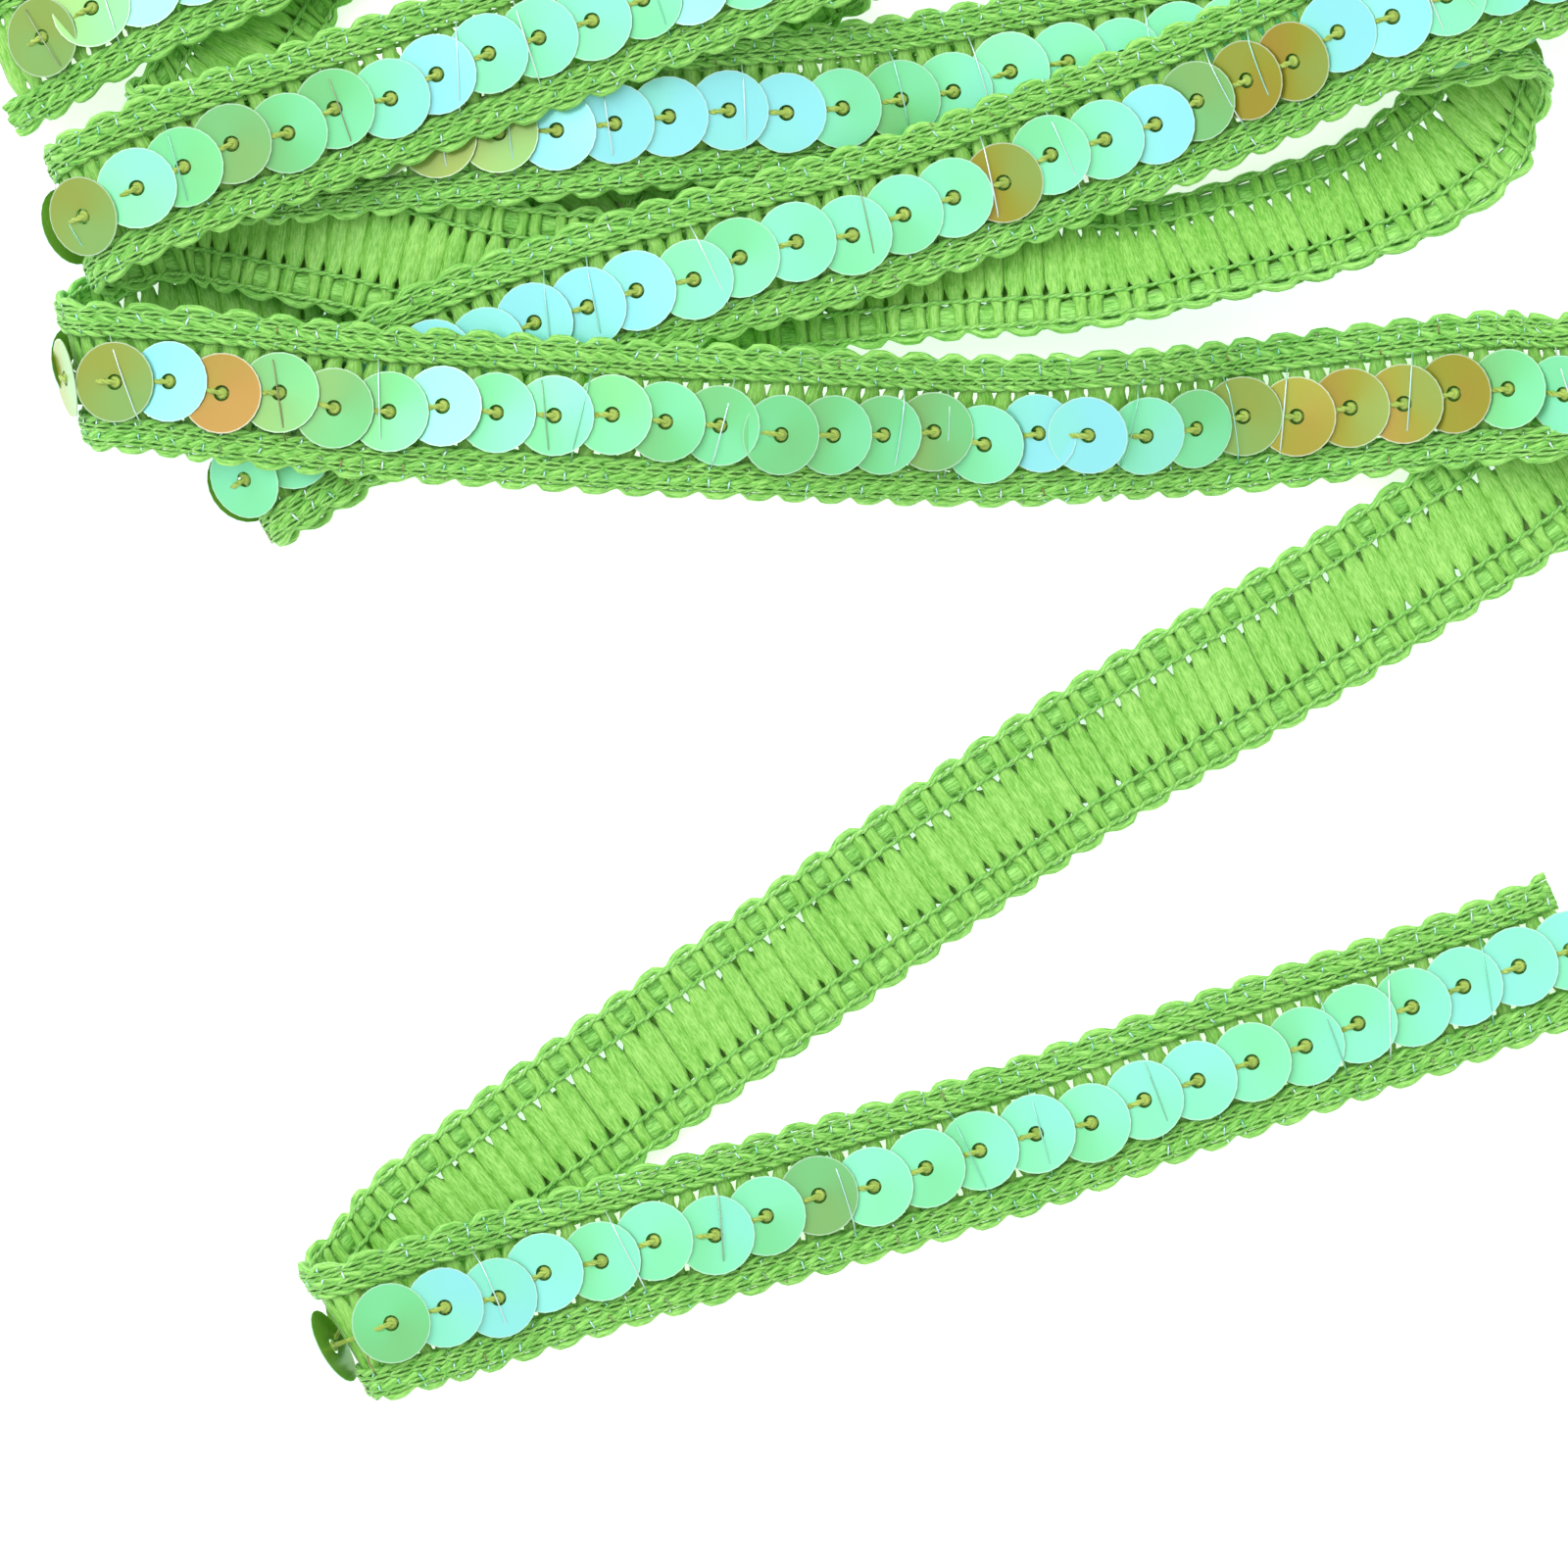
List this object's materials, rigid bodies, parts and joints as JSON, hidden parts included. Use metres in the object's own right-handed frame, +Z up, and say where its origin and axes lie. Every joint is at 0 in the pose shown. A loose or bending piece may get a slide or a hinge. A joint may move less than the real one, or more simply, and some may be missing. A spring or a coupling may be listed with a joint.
{
  "type": "sequin trim",
  "caption": "Narrow knitted trim in lime green with scalloped borders and overlapping iridescent sequins along its middle, one cut length lying in loose folds.",
  "frame": {"origin": "middle of the folded heap's bounding box, on the plane that it rests on", "axes": "+Z up from the surface, +X along the long runs towards the cut start of the front run, +Y from the front run towards the rear ones"},
  "size_m": [0.1284, 0.1162, 0.0128],
  "materials": {
    "braid_yarn": "knitted yarn with a slight sheen",
    "sequin_film": "glossy iridescent film"
  },
  "bodies": {
    "root": {"trim_tape": "braid_yarn", "sequins_front": "sequin_film", "sequins_slant": "sequin_film", "sequins_middle": "sequin_film", "sequins_under": "sequin_film", "sequins_long": "sequin_film", "sequins_cross": "sequin_film", "sequins_top": "sequin_film", "sequins_far": "sequin_film", "sequins_rear": "sequin_film", "sequins_corner": "sequin_film", "sequins_last": "sequin_film"}
  },
  "joints": []
}
